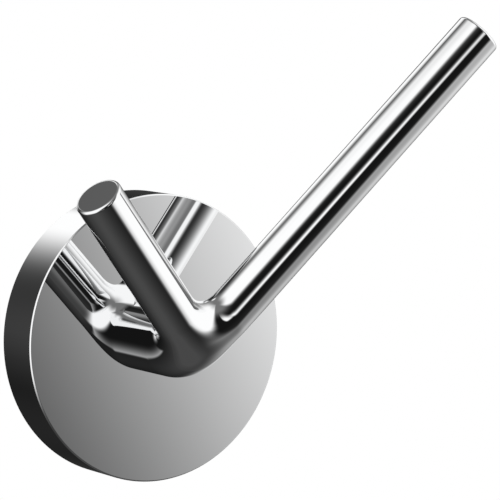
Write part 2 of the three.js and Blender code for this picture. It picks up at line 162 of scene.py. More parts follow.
class FixingSizes(bpy.types.PropertyGroup):
    """Sizes of the bracket, screws, washers and plugs."""

    bracket_chamfer: length("Bracket chamfer", "Chamfer round the bracket's front", 0.0008)
    bracket_softening: length("Bracket softening", "Radius on the bracket's outer edges", 0.0002)
    bracket_edge: length("Bracket edge", "Chamfer at the mouths of its holes, pocket and notch", 0.0002)
    bracket_seat: length("Bracket seat", "Metal under the wall screws' washers", 0.002)
    bracket_hole: length("Bracket hole", "Across each screw hole", 0.0055)
    counterbore: length("Counterbore", "Across each washer's counterbore", 0.009)
    pocket: length("Pocket", "Across the pocket for the hook screw's head", 0.011)
    pocket_depth: length("Pocket depth", "From the bracket's front to the pocket's floor", 0.004)
    notch_width: length("Notch width", "Across the notch for the rosette's boss", 0.0108)
    notch_floor: length("Notch floor", "From the bracket's middle to the notch", 0.0186)
    grub_pitch: length("Grub pitch", "Thread pitch of the grub screw", 0.0007)
    grub_key: length("Grub key", "Hexagon key of the grub screw", 0.002)
    grub_hole: length("Grub hole", "Across the tapped hole in the rim", 0.0042)
    hook_screw_thread: length("Hook screw thread", "Outer diameter of its thread", 0.005)
    hook_screw_pitch: length("Hook screw pitch", "Its thread pitch", 0.0008)
    hook_screw_head: length("Hook screw head", "Height of its domed head", 0.0025)
    hook_screw_key: length("Hook screw key", "Its hexagon key", 0.003)
    hook_washer_hole: length("Hook washer hole", "Across the hole of both its washers", 0.0054)
    lock_washer_edge: length("Lock washer edge", "Radius on the split washer's edges", 0.00015)
    lock_washer_split: length("Lock washer split", "Gap between the split washer's ends", 0.0008)
    wall_screw_thread: length("Wall screw thread", "Outer diameter of its thread", 0.0035)
    wall_screw_pitch: length("Wall screw pitch", "Its thread pitch", 0.0016)
    wall_screw_head: length("Wall screw head", "Height of its pan head", 0.0024)
    wall_screw_point: length("Wall screw point", "Length of its point", 0.004)
    washer_edge: length("Washer edge", "Radius on the flat washers' edges", 0.00012)
    wall_washer_hole: length("Wall washer hole", "Across the washer's hole", 0.0039)
    plug_bore: length("Plug bore", "Across the plug's bore", 0.0037)
    plug_collar: length("Plug collar", "Plain length at the plug's mouth", 0.006)
    plug_slot: length("Plug slot", "Width of the split between the legs", 0.0008)
    plug_barb: length("Plug barb", "Depth of the saw teeth", 0.00025)


class FinishColours(bpy.types.PropertyGroup):
    """Colours and gloss of the five finishes."""

    chrome: colour("Chrome", "Mirror plate of rosette and hook", (0.93, 0.934, 0.938))
    chrome_roughness: factor("Chrome roughness", "Haze of the mirror plate", 0.002)
    zinc: colour("Zinc casting", "Bare die casting of the bracket", (0.55, 0.56, 0.57))
    steel: colour("Zinc plate", "Bright plate of screws and washers", (0.70, 0.72, 0.74))
    black: colour("Black steel", "Blackened grub screw and lock washer", (0.06, 0.06, 0.065))
    nylon: colour("Nylon", "Moulded wall plugs", (0.50, 0.51, 0.52))


class StudioSettings(bpy.types.PropertyGroup):
    """Camera, light and floor."""

    azimuth: angle("Azimuth", "Camera to the left of straight on", 31.436)
    elevation: angle("Elevation", "Camera above level", 7.811)
    pan: angle("Pan", "Camera turned right of the rosette's middle", 1.735)
    tilt: angle("Tilt", "Camera turned up from the rosette's middle", 1.633)
    distance: length("Distance", "Camera to the middle of the mirror face", 0.53295)
    lens: FloatProperty(name="Lens", description="Focal length in millimetres", default=222.1, min=1)
    panels: factor("Panels", "Strength of the white panels in the chrome", 1.06)
    gap: factor("Gap", "Grey of the dark gaps between the panels", 0.08)
    ground: factor("Ground", "Grey that the chrome mirrors straight below", 0.279)
    ceiling: factor("Ceiling", "Grey that the chrome mirrors above the panels", 0.459)
    soft_light: factor("Soft light", "Strength of the even light on matte pieces", 0.8)
    floor: colour("Floor", "Pale floor under the object", (0.9, 0.9, 0.9))
    floor_drop: length("Floor drop", "From the object's middle down to the floor", 0.6)
    floor_radius: length("Floor radius", "Where the floor has faded out", 1.2)


# Mesh helpers


def tube(rows, start=None, end=None, loop=False):
    """Points and faces of a tube through rows of points, each joined to the next and closed round;
    a start or end point closes that end with a fan, and loop joins the last row to the first."""
    rows = np.asarray(rows, float)
    count, around = rows.shape[:2]
    points = rows.reshape(-1, 3)
    row = np.arange(count if loop else count - 1)[:, None] * around
    ahead = (row + around) % len(points)
    column = np.arange(around)
    beside = (column + 1) % around
    corners = [row + column, row + beside, ahead + beside, ahead + column]
    faces = np.stack(corners, -1).reshape(-1, 4).tolist()
    for pole, ring in ((start, 0), (end, (count - 1) * around)):
        if pole is not None:
            hub = np.full(around, len(points))
            faces += np.stack([ring + column, ring + beside, hub], -1).tolist()
            points = np.vstack([points, pole])
    return points, faces


def capped(rows):
    """A tube whose two ends are closed by one face each."""
    points, faces = tube(rows)
    around = len(rows[0])
    return points, faces + [list(range(around)), list(range(len(points) - around, len(points)))]


def make_object(name, *parts):
    """One object from sets of points and faces: equal points are merged and faces turned outwards."""
    points = np.vstack([part[0] for part in parts])
    starts = np.cumsum([0] + [len(part[0]) for part in parts])
    faces = [[int(start) + i for i in face] for start, part in zip(starts, parts) for face in part[1]]
    mesh = bpy.data.meshes.new(name)
    mesh.from_pydata(points.tolist(), [], faces)
    weld(mesh, WELD, True)
    shade(mesh)
    made = bpy.data.objects.new(name, mesh)
    bpy.context.scene.collection.objects.link(made)
    return made


def weld(mesh, distance, outwards=False):
    """Merges points that lie within a distance, drops faces without area, and may turn all faces outwards."""
    work = bmesh.new()
    work.from_mesh(mesh)
    bmesh.ops.remove_doubles(work, verts=work.verts, dist=distance)
    bmesh.ops.dissolve_degenerate(work, edges=work.edges, dist=distance / 10)
    if outwards:
        bmesh.ops.recalc_face_normals(work, faces=work.faces)
    work.to_mesh(mesh)
    work.free()


def shade(mesh):
    """Smooth shading with crisp edges past an angle."""
    mesh.shade_smooth()
    mesh.set_sharp_from_angle(angle=CRISP_ANGLE)


def carve(body, tools, operation="DIFFERENCE"):
    """Cuts the tools from the body, or joins them to it, and deletes them."""
    for tool in tools:
        step = body.modifiers.new(tool.name, "BOOLEAN")
        step.operation = operation
        step.solver = "EXACT"
        step.object = tool
    ready = bpy.context.evaluated_depsgraph_get()
    mesh = bpy.data.meshes.new_from_object(body.evaluated_get(ready))
    old = body.data
    body.modifiers.clear()
    body.data = mesh
    mesh.name = body.name
    bpy.data.meshes.remove(old)
    for tool in tools:
        used = tool.data
        bpy.data.objects.remove(tool)
        bpy.data.meshes.remove(used)
    weld(mesh, CUT_WELD)
    shade(mesh)


def turn_angles(count, extra=()):
    """Angles of one turn in even steps, with any extra angles among them."""
    even = np.linspace(0, 2 * np.pi, count, endpoint=False)
    return np.unique(np.round(np.concatenate([even, np.mod(extra, 2 * np.pi)]), 9))


def turned(turn, radius, along, axis="Y", at=(0, 0, 0)):
    """Rows about an axis: radius and place along the axis differ with the row, and may with the angle."""
    radius, along = (np.asarray(value, float).reshape(len(value), -1) for value in (radius, along))
    radius, along, turn = np.broadcast_arrays(radius, along, turn)
    across = radius * np.cos(turn)
    upward = radius * np.sin(turn)
    order = {"Y": (across, along, upward), "Z": (across, upward, along)}[axis]
    return np.stack(order, -1) + np.asarray(at, float)


def rounded(corners, steps=4):
    """A profile of radius and place with an arc of the given size at each corner: the arc touches both
    sides, and a point a little before and after it keeps the straight stretches straight."""
    corners = np.array(corners, float)
    places = corners[:, :2]
    line = [places[0]]
    for before, corner, after, size in zip(places, places[1:], places[2:], corners[1:, 2]):
        if size <= 0:
            line.append(corner)
            continue
        back = (before - corner) / np.linalg.norm(before - corner)
        ahead = (after - corner) / np.linalg.norm(after - corner)
        half = math.acos(np.clip(back @ ahead, -1, 1)) / 2
        touch = size / math.tan(half)
        lead = size / 4
        centre = corner + (back + ahead) / np.linalg.norm(back + ahead) * size / math.sin(half)
        first = corner + back * touch - centre
        last = corner + ahead * touch - centre
        sweep = np.pi - 2 * half
        share = np.linspace(0, 1, steps + 1)[:, None]
        arc = (np.sin((1 - share) * sweep) * first + np.sin(share * sweep) * last) / math.sin(sweep)
        line.extend([centre + first + back * lead, *(centre + arc), centre + last + ahead * lead])
    line.append(places[-1])
    return np.array(line)


def flatted(turn, radius, flat):
    """Radius at each angle of a circle with one flat at the bottom."""
    return np.minimum(radius, flat / np.maximum(-np.sin(turn), TINY))


def hexagon(turn, key):
    """Radius at each angle of a hexagon with the given width across its flats."""
    return key / 2 / np.cos(np.mod(turn, np.pi / 3) - np.pi / 6)


def cross(turn, long_side, wide):
    """Radius at each angle of a cross: the farther of two crossed bars."""
    side = np.maximum(np.abs(np.cos(turn)), TINY)
    up = np.maximum(np.abs(np.sin(turn)), TINY)
    level = np.minimum(long_side / 2 / side, wide / 2 / up)
    upright = np.minimum(long_side / 2 / up, wide / 2 / side)
    return np.maximum(level, upright)


def thread(turn, along, pitch, crest, root):
    """Share of a thread's depth, 0 at its root and 1 at its crest: a triangle wave that climbs one pitch
    a turn, with a share of it cut off flat at the crest and at the root."""
    wave = np.abs(2 * np.mod(along[:, None] / pitch - turn / (2 * np.pi), 1) - 1)
    return np.clip((wave - root) / (1 - root - crest), 0, 1)


def bar(name, radius, stations, axis="Y", at=(0, 0, 0)):
    """A round bar for cutting, through stations of an offset to its radius and a place along its axis."""
    offset, place = np.array(stations, float).T
    rows = turned(turn_angles(TOOL_TURN), radius + offset, place, axis, at)
    return make_object(name, tube(rows, rows[0].mean(0), rows[-1].mean(0)))


def block(name, half, low, high, stations):
    """A square bar along Y for cutting or joining, through stations of an offset and a place: the offset
    moves its two sides and its upper face out."""
    offset, place = np.array(stations, float).T[..., None]
    across = (half + offset) * np.array([-1, 1, 1, -1])
    upward = np.where([True, True, False, False], low, high + offset)
    return make_object(name, capped(np.stack([across, place * np.ones(4), upward], -1)))


# Shapes of the pieces


def rosette_shell(sizes, hook):
    """A turned cup: the profile runs from the spigot's hole over the mirror face, the softened chamfer,
    the rim and the back of the face to the hole again; only the hole has a flat and lies off the middle."""
    turn = turn_angles(ROSETTE_TURN)
    radius = sizes.diameter / 2
    inner = radius - sizes.wall
    front = -sizes.depth
    behind = front + sizes.face
    near_hole = hook.spigot_diameter
    soft = sizes.softening
    line = rounded(
        [
            (near_hole, front, 0),
            (radius - sizes.chamfer, front, soft),
            (radius, front + sizes.chamfer, soft),
            (radius, 0, soft),
            (inner, 0, soft * 2),
            (inner, behind, sizes.inner_corner),
            (near_hole, behind, 0),
        ]
    )
    play = hook.spigot_play
    hole = flatted(turn, hook.spigot_diameter / 2 + play, hook.spigot_flat + play)
    edge = turned(turn, [hole, hole], [behind, front], at=(0, 0, -hook.drop))
    return tube(np.concatenate([edge, turned(turn, *line.T)]), loop=True)


def prong_axis(side, spread, lean):
    """Unit vector that leaves upright by the spread, to one side, and by the lean, out from the wall."""
    flat = math.cos(lean)
    return np.array([side * math.sin(spread) * flat, -math.sin(lean), math.cos(spread) * flat])


def fillet_union(first, second, radius, power):
    """Union of two distances with a fillet: where both are less than its radius, the radius less the
    length of what each lacks of it, and elsewhere the smaller distance. The length is a root of a sum of
    powers, so the fillet's section is an arc at a power of 2 and starts softer above it."""
    lacking = np.maximum(radius - first, 0) ** power + np.maximum(radius - second, 0) ** power
    return np.maximum(radius, np.minimum(first, second)) - lacking ** (1 / power)


def bent_line_distance(offset, axis, bend):
    """Distance to a line that comes out from the wall along -Y, bends near the origin by an arc and runs
    on along an axis. In the plane of the bend it is the least of three: to the straight stretch before
    the arc, to the one after it, and to the arc itself where a point lies within the arc's sector."""
    turn = math.acos(-axis[1])
    side_axis = np.array([axis[0], 0, axis[2]]) / math.sin(turn)
    reach = bend * math.tan(turn / 2)
    out = -offset[..., 1]
    side = offset @ side_axis
    beside = offset @ np.array([side_axis[2], 0, -side_axis[0]])
    along = out * math.cos(turn) + side * math.sin(turn)
    before = np.hypot(side, np.maximum(out + reach, 0))
    after = np.hypot(out * math.sin(turn) - side * math.cos(turn), np.maximum(reach - along, 0))
    sector = np.arctan2(out + reach, bend - side)
    arc = np.abs(np.hypot(out + reach, bend - side) - bend)
    arc = np.where((sector > 0) & (sector < turn), arc, np.inf)
    return np.hypot(np.minimum(np.minimum(before, after), arc), beside)


def skin_points(inside, directions, distance, steps=60):
    """Where rays from inside a shape come out of it: each ray steps on by the distance that is left."""
    reach = np.zeros(inside.shape[:-1])
    for _ in range(steps):
        reach = reach - distance(inside + reach[..., None] * directions)
    return inside + reach[..., None] * directions


def hook_tubes(sizes, face, behind, seam_steps=80, rings=104, crowding=1.6):
    """The hook's skin as three tubes, for the short prong, the long prong and the neck. The skin is where
    the distance to two bent rods, joined by a fillet, is nothing. They lie on each other in the neck, where
    the fillet thickens them, and a swell by a smooth step makes up the rest of its width. Two tubes meet in
    the plane that halves the angle between their axes, and the three planes share one line through the fork
    point. The rings of a tube crowd towards the fork by a power."""
    fork = np.array([0, face - sizes.fork_reach, -sizes.drop])
    short = prong_axis(-1, sizes.short_spread, sizes.short_lean)
    long = prong_axis(1, sizes.long_spread, sizes.long_lean)
    neck = np.array([0.0, 1.0, 0.0])
    prong_radius = sizes.prong_diameter / 2
    fillet_gain = sizes.fork_fillet * (1 - 2 ** (-1 / sizes.fillet_power))
    neck_swell = sizes.neck_diameter / 2 - prong_radius - fillet_gain
    lead = sizes.prong_edge * 0.1

    def distance(points):
        offset = points - fork
        share = np.clip(offset[..., 1] / sizes.neck_taper, 0, 1)
        radius = prong_radius + neck_swell * share**2 * (3 - 2 * share)
        to_short = bent_line_distance(offset, short, sizes.short_bend) - radius
        to_long = bent_line_distance(offset, long, sizes.long_bend) - radius
        return fillet_union(to_short, to_long, sizes.fork_fillet, sizes.fillet_power)

    poles = np.cross(short - long, long - neck)
    poles = poles / np.linalg.norm(poles)
    half_turn = np.linspace(0, np.pi, seam_steps + 1)[:, None]

    def seam(first, second, third):
        outwards = np.cross(first - second, poles)
        outwards = outwards / np.linalg.norm(outwards)
        outwards = outwards * np.sign(outwards @ first - outwards @ third)
        directions = np.cos(half_turn) * poles + np.sin(half_turn) * outwards
        return skin_points(np.broadcast_to(fork, directions.shape), directions, distance)

    short_long = seam(short, long, neck)
    long_neck = seam(long, neck, short)
    neck_short = seam(neck, short, long)
    share = np.linspace(0, 1, rings + 1)[1:, None] ** crowding

    def branch(axis, there, back, end):
        start = np.concatenate([there[:-1], back[:0:-1]])
        offset = start - fork
        from_fork = offset @ axis
        across = offset - from_fork[:, None] * axis
        across = across / np.linalg.norm(across, axis=-1, keepdims=True)
        along = from_fork + (end - from_fork) * share
        along = np.insert(along, -1, end - lead, axis=0)
        centres = fork + along[..., None] * axis
        rows = skin_points(centres, np.broadcast_to(across, centres.shape), distance)
        return across, np.concatenate([start[None], rows])

    tubes = []
    bend = np.linspace(0, np.pi / 2, 9)[1:]
    for axis, there, back, reach in (
        (short, short_long, neck_short, sizes.short_length),
        (long, short_long, long_neck, sizes.long_length),
    ):
        across, rows = branch(axis, there, back, reach - sizes.prong_edge)
        radius = prong_radius - sizes.prong_edge * (1 - np.cos(bend))
        along = reach - sizes.prong_edge * (1 - np.sin(bend))
        radius = np.append(radius, [radius[-1] - lead, radius[-1] / 2])
        along = np.append(along, [reach, reach])
        end = fork + along[:, None, None] * axis + radius[:, None, None] * across
        tubes.append(tube(np.concatenate([rows, end]), end=fork + reach * axis))

    across, rows = branch(neck, long_neck, neck_short, sizes.fork_reach)
    turn = np.arctan2(across[:, 2], across[:, 0])
    spigot = flatted(turn, sizes.spigot_diameter / 2, sizes.spigot_flat)
    bore = np.full_like(turn, sizes.bore_diameter / 2)
    chamfer = sizes.spigot_short
    stop = behind - sizes.spigot_short
    depth = behind - sizes.bore_depth
    drill_cone = sizes.bore_diameter * 0.3
    radius = [spigot, spigot, spigot - chamfer, bore + chamfer, bore, bore]
    along = [face, stop - chamfer, stop, stop, stop - chamfer, depth]
    end = turned(turn, radius, along, at=(0, 0, -sizes.drop))
    tubes.append(tube(np.concatenate([rows, end]), end=(0, depth - drill_cone, -sizes.drop)))
    return tubes


def ring_section(hole, outer, thickness, front_edge, back_edge):
    """Section of a stamped ring: a rectangle with rounded corners, from the middle of its front all round."""
    half = thickness / 2
    inner = hole / 2
    start = ((inner + outer) / 2, -half, 0)
    return rounded(
        [
            start,
            (outer, -half, front_edge),
            (outer, half, back_edge),
            (inner, half, back_edge),
            (inner, -half, front_edge),
            start,
        ]
    )[:-1]


def washer_ring(hole, outer, thickness, edge, at):
    """A stamped washer: its section turned about Y, with rounder edges on the side that the punch met."""
    line = ring_section(hole, outer, thickness, edge * 2, edge)
    return tube(turned(turn_angles(WASHER_TURN), *line.T, at=at), loop=True)


def split_ring(hole, outer, thickness, edge, at, split, slant=0.5, rows=121):
    """A spring washer pressed flat: its section carried round the axis from one side of the split to the
    other, with slanted ends that are closed by one face each."""
    radius, place = ring_section(hole, outer, thickness, edge, edge).T
    gap = split / 2 / radius
    share = np.linspace(0, 1, rows)[:, None]
    turn = gap + slant * place / radius + share * (2 * np.pi - 2 * gap)
    return capped(turned(turn, radius[None], place[None], at=at))


def socket_head(turn, outline, top, depth, head):
    """Rows of a screw head from the floor of its recess out to the seat: the recess keeps its outline down
    to a cone, its mouth has a small chamfer, and the dome is a quarter of an ellipse from the flat on top
    down to the edge of the head. The head is given by its radius, height, flat and edge."""
    radius, height, flat, edge = head
    mouth = outline.max() * SOCKET_MOUTH
    bend = np.linspace(0, np.pi / 2, 12)
    dome = flat / 2 + (radius - flat / 2) * np.sin(bend)
    fall = -edge - (height - edge) * np.cos(bend)
    recess = [outline * SOCKET_FLOOR, outline, outline, np.full_like(turn, mouth)]
    places = top + np.array([depth, depth * SOCKET_STRAIGHT, (mouth - outline.min()) / 2, 0])
    radii = np.concatenate([recess, np.outer(dome, np.ones_like(turn)), np.full((2, len(turn)), radius)])
    along = np.concatenate([places, fall, [-edge / 2, 0]])
    pole = top + depth + outline.min() * SOCKET_CONE
    return radii, along, pole


def machine_screw(turn, along, outer, pitch, ends):
    """Radius of a machine thread at each place and angle: it runs out into a chamfer at both ends."""
    low, high, chamfer = ends
    depth = pitch * MACHINE_THREAD_DEPTH
    limit = np.minimum(along - low, high - along) + outer - chamfer
    shape = outer - depth * (1 - thread(turn, along, pitch, crest=0.12, root=0.2))
    return np.minimum(shape, limit[:, None])


def hook_screw_shell(sizes, at):
    """Button-head screw that points to -Y: a domed head with a hexagon socket, and a threaded shank."""
    turn = turn_angles(SCREW_TURN)
    box = span("hook_screw")
    outer = sizes.hook_screw_thread / 2
    pitch = sizes.hook_screw_pitch
    height = sizes.hook_screw_head
    shank = box.y - height
    socket_depth = height * 0.6
    dome_flat = box.x * 0.59
    dome_edge = height * 0.24
    head = (box.x / 2, height, dome_flat, dome_edge)
    radii, along, pole = socket_head(turn, hexagon(turn, sizes.hook_screw_key), -height, socket_depth, head)
    run = np.linspace(0, shank, int(shank / pitch * 12))
    shape = machine_screw(turn, run, outer, pitch, (-outer, shank, outer * MACHINE_CHAMFER))
    rows = turned(turn, np.concatenate([radii, shape]), -np.concatenate([along, run]), at=at)
    return tube(rows, np.add(at, (0, -pole, 0)), np.add(at, (0, -shank, 0)))


def grub_screw_shell(sizes, at, reach):
    """Grub screw that points up: a threaded bar with a hexagon socket below and a cupped point above."""
    turn = turn_angles(SCREW_TURN)
    outer = span("grub_screw").x / 2
    pitch = sizes.grub_pitch
    key = hexagon(turn, sizes.grub_key)
    mouth = np.full_like(turn, key.max() * 1.05)
    mouth_chamfer = outer * 0.1
    socket_depth = reach * 0.5
    socket_cone = sizes.grub_key * 0.15
    cup_radius = np.full_like(turn, outer * 0.35)
    cup_wall, cup_depth = outer * 0.15, outer * 0.3
    run = np.linspace(0, reach, int(reach / pitch * 14))
    shape = machine_screw(turn, run, outer, pitch, (0, reach, outer * MACHINE_CHAMFER))
    radii = np.concatenate([[key * SOCKET_FLOOR, key, key, mouth], shape, [cup_radius]])
    places = [socket_depth, socket_depth * SOCKET_STRAIGHT, mouth_chamfer, 0]
    rows = turned(turn, radii, np.concatenate([places, run, [reach - cup_wall]]), "Z", at)
    return tube(rows, np.add(at, (0, 0, socket_depth + socket_cone)), np.add(at, (0, 0, reach - cup_depth)))


def wall_screw_shell(sizes, at, reach, head_radius):
    """Pan-head screw that points into the wall: a cross recess, a smooth shank under the head, and a
    coarse thread that climbs a core down to a point."""
    bar_long = head_radius
    bar_wide = head_radius * 0.26
    quarter = np.arange(4) * np.pi / 2
    corner = math.atan2(bar_wide, bar_long)
    turn = turn_angles(SCREW_TURN, np.concatenate([quarter - corner, quarter + corner, quarter + np.pi / 4]))
    height = sizes.wall_screw_head
    socket_depth = height * 0.5
    dome_flat = head_radius * 1.24
    dome_edge = height * 0.42
    head = (head_radius, height, dome_flat, dome_edge)
    radii, along, pole = socket_head(turn, cross(turn, bar_long, bar_wide), -height, socket_depth, head)
    outer = sizes.wall_screw_thread / 2
    root = outer * 0.7
    neck = outer * 0.9
    plain = reach * 0.2
    pitch = sizes.wall_screw_pitch
    run = np.linspace(0, reach, int(reach / pitch * 14))
    to_point = np.clip((reach - run) / sizes.wall_screw_point, 0, 1)
    core = root * to_point**0.8
    starting = np.clip((run - plain) / pitch, 0, 1)
    ridge = thread(turn, run, pitch, crest=0.06, root=0.62) * (starting * to_point**0.5)[:, None]
    shape = core[:, None] + (outer - root) * ridge
    shape[0] = neck
    rows = turned(turn, np.concatenate([radii, shape[:-1]]), np.concatenate([along, run[:-1]]), at=at)
    return tube(rows, np.add(at, (0, pole, 0)), np.add(at, (0, reach, 0)))


def plug_sleeve(sizes, at, reach, outer, teeth=4):
    """A plug's sleeve: its bore, a plain collar and saw teeth as one closed profile turned about Y. Each
    tooth climbs from its valley to its crest, runs level and drops, at shares of the tooth's length."""
    inner = sizes.plug_bore / 2
    collar = sizes.plug_collar
    low = outer - sizes.plug_barb
    soft = sizes.plug_barb * 0.4
    pitch = (reach - collar) / teeth
    valley, crest, end = 0.04, 0.5, 0.92
    collar_end = -0.06
    saw = [
        (radius, collar + pitch * (tooth + share), soft)
        for tooth in range(teeth)
        for radius, share in ((low, valley), (outer, crest), (outer, end))
    ]
    start = ((inner + outer) / 2, 0, 0)
    line = rounded(
        [
            start,
            (outer, 0, soft),
            (outer, collar + pitch * collar_end, soft),
            *saw,
            (low, reach, soft * 2),
            (inner, reach, soft),
            (inner, 0, soft),
            start,
        ],
        3,
    )[:-1]
    return tube(turned(turn_angles(PLUG_TURN), *line.T, at=at), loop=True)


# Materials


def link_or_set(tree, socket, value):
    """Puts a number or colour on a socket, or links an output to it."""
    if isinstance(value, bpy.types.NodeSocket):
        tree.links.new(value, socket)
    else:
        socket.default_value = value


def number(tree, operation, *values):
    """One math node."""
    node = tree.nodes.new("ShaderNodeMath")
    node.operation = operation
    for socket, value in zip(node.inputs, values):
        link_or_set(tree, socket, value)
    return node.outputs[0]


def spread(tree, value, low, high, to_low=0.0, to_high=1.0, curve="LINEAR"):
    """One map-range node, held to its ends."""
    node = tree.nodes.new("ShaderNodeMapRange")
    node.interpolation_type = curve
    names = ("Value", "From Min", "From Max", "To Min", "To Max")
    for name, given in zip(names, (value, low, high, to_low, to_high)):
        link_or_set(tree, node.inputs[name], given)
    return node.outputs[0]


def blend(tree, share, first, second, kind="FLOAT"):
    """One mix node between two numbers or colours."""
    node = tree.nodes.new("ShaderNodeMix")
    node.data_type = kind
    for name, given in (("Factor", share), ("A", first), ("B", second)):
        link_or_set(tree, node.inputs[name], given)
    return node.outputs["Result"]


def finish(name, metallic, specular=0.5):
    """A new material with its shader and its place on the piece."""
    material = bpy.data.materials.new(name)
    material.use_nodes = True
    tree = material.node_tree
    shader = tree.nodes["Principled BSDF"]
    shader.inputs["Metallic"].default_value = metallic
    shader.inputs["Specular IOR Level"].default_value = specular
    place = tree.nodes.new("ShaderNodeTexCoord").outputs["Object"]
    return material, tree, shader, place


def grain(tree, place, size, detail=2.0, stretch=(1, 1, 1), distortion=0.0):
    """Noise with features of the given size in metres, drawn out along an axis by a stretch below 1."""
    mapping = tree.nodes.new("ShaderNodeMapping")
    mapping.inputs["Scale"].default_value = stretch
    tree.links.new(place, mapping.inputs["Vector"])
    noise = tree.nodes.new("ShaderNodeTexNoise")
    noise.inputs["Scale"].default_value = 1 / size
    noise.inputs["Detail"].default_value = detail
    noise.inputs["Distortion"].default_value = distortion
    tree.links.new(mapping.outputs[0], noise.inputs["Vector"])
    return noise.outputs[0]


def scaled(base, share):
    """A colour made darker or lighter."""
    return tuple(min(1.0, c * share) for c in base)


def paint(tree, shader, pattern, first, second):
    """Colours a finish between two others by a pattern."""
    cast = blend(tree, pattern, (*first, 1), (*second, 1), "RGBA")
    tree.links.new(cast, shader.inputs["Base Color"])


def gloss(tree, shader, pattern, low, high):
    """Roughens a finish between two values by the middle range of a pattern."""
    tree.links.new(spread(tree, pattern, 0.3, 0.7, low, high), shader.inputs["Roughness"])


def relief(tree, shader, height, depth):
    """Bump of the given depth in metres."""
    node = tree.nodes.new("ShaderNodeBump")
    node.inputs["Strength"].default_value = 1
    node.inputs["Distance"].default_value = depth
    tree.links.new(height, node.inputs["Height"])
    tree.links.new(node.outputs[0], shader.inputs["Normal"])


def mirror_chrome(colours):
    """Mirror chrome: nearly even, with a trace of wiping haze and of tint."""
    material, tree, shader, place = finish("mirror_chrome", 1)
    base = tuple(colours.chrome)
    haze = colours.chrome_roughness
    gloss(tree, shader, grain(tree, place, 0.02, 4, distortion=1.5), haze * 0.5, haze * 1.5)
    paint(tree, shader, grain(tree, place, 0.012, 3), scaled(base, 0.985), scaled(base, 1.01))
    return material


def cast_zinc(colours):
    """Bare die casting: mottled grey with cold-flow streaks and a fine sandy skin."""
    material, tree, shader, place = finish("cast_zinc", 1)
    base = tuple(colours.zinc)
    flow = grain(tree, place, 0.006, 5, (1, 1, 0.45), 2.0)
    paint(tree, shader, flow, scaled(base, 0.72), scaled(base, 1.12))
    skin = grain(tree, place, 0.0004, 3)
    gloss(tree, shader, skin, 0.42, 0.62)
    relief(tree, shader, skin, 0.00003)
    return material


def plated_steel(colours):
    """Bright zinc plate on steel: cool grey with a faint yellow cast and fine drawn lines."""
    material, tree, shader, place = finish("plated_steel", 1)
    base = tuple(colours.steel)
    warm = (base[0] * 1.03, base[1], base[2] * 0.92)
    paint(tree, shader, grain(tree, place, 0.003, 3, distortion=1.0), base, warm)
    lines = grain(tree, place, 0.0003, 2, (1, 0.12, 1))
    gloss(tree, shader, lines, 0.2, 0.36)
    relief(tree, shader, lines, 0.000012)
    return material


def blackened_steel(colours):
    """Blackened steel: deep grey, a brown cast in places, and an oily sheen."""
    material, tree, shader, place = finish("blackened_steel", 1)
    base = tuple(colours.black)
    brown = (base[0] * 1.35, base[1] * 1.15, base[2])
    paint(tree, shader, grain(tree, place, 0.0015, 4, distortion=1.0), base, brown)
    skin = grain(tree, place, 0.0002, 3)
    gloss(tree, shader, skin, 0.3, 0.5)
    relief(tree, shader, skin, 0.00001)
    return material


def moulded_nylon(colours):
    """Moulded nylon: an even satin grey with slight flow marks and a fine eroded texture."""
    material, tree, shader, place = finish("moulded_nylon", 0, 0.45)
    base = tuple(colours.nylon)
    flow = grain(tree, place, 0.004, 4, (1, 0.35, 1), 1.0)
    paint(tree, shader, flow, scaled(base, 0.9), scaled(base, 1.08))
    skin = grain(tree, place, 0.00025, 3)
    gloss(tree, shader, skin, 0.48, 0.64)
    relief(tree, shader, skin, 0.00002)
    return material


# The function that makes each record slot's material, which has that function's name
FINISHES = {
    "chrome_plate": mirror_chrome,
    "zinc_casting": cast_zinc,
    "zinc_plated_steel": plated_steel,
    "black_steel": blackened_steel,
    "grey_nylon": moulded_nylon,
}


def hand_over(piece, node, body, slot):
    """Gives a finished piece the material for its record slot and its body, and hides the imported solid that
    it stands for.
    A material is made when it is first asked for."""
    make = FINISHES[slot]
    material = bpy.data.materials.get(make.__name__) or make(bpy.context.scene.finish_colours)
    piece.data.materials.clear()
    piece.data.materials.append(material)
    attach(piece, body)
    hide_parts(node)


# Operators


class WALLHOOK_OT_rosette(bpy.types.Operator):
    """Make the chromed rosette with its boss and tapped hole"""

    bl_idname = "wall_hook.rosette"
    bl_label = "Rosette"

    def execute(self, context):
        scene = context.scene
        sizes = scene.rosette_sizes
        piece = make_object("rosette_cup", rosette_shell(sizes, scene.hook_sizes))
        outer = sizes.diameter / 2
        inner = outer - sizes.wall
        boss_top = sizes.boss_reach - inner
        boss_ends = ((0, sizes.face / 2 - sizes.depth), (0, -sizes.boss_setback))
        boss = block("boss", sizes.boss_width / 2, -inner - sizes.wall / 2, boss_top, boss_ends)
        carve(piece, [boss], "UNION")
        hole_ends = ((0, -outer - CUT_PAST), (0, boss_top + CUT_PAST))
        at = (0, middle("grub_screw").y, 0)
        carve(piece, [bar("grub_hole", scene.fixing_sizes.grub_hole / 2, hole_ends, "Z", at)])
        hand_over(piece, "rosette", "hook_cover", "chrome_plate")
        return {"FINISHED"}


class WALLHOOK_OT_hook(bpy.types.Operator):
    """Make the forked hook in one smooth skin"""

    bl_idname = "wall_hook.hook"
    bl_label = "Forked hook"

    def execute(self, context):
        scene = context.scene
        rosette = scene.rosette_sizes
        tubes = hook_tubes(scene.hook_sizes, -rosette.depth, rosette.face - rosette.depth)
        hand_over(make_object("forked_hook", *tubes), "double_hook", "hook_cover", "chrome_plate")
        return {"FINISHED"}


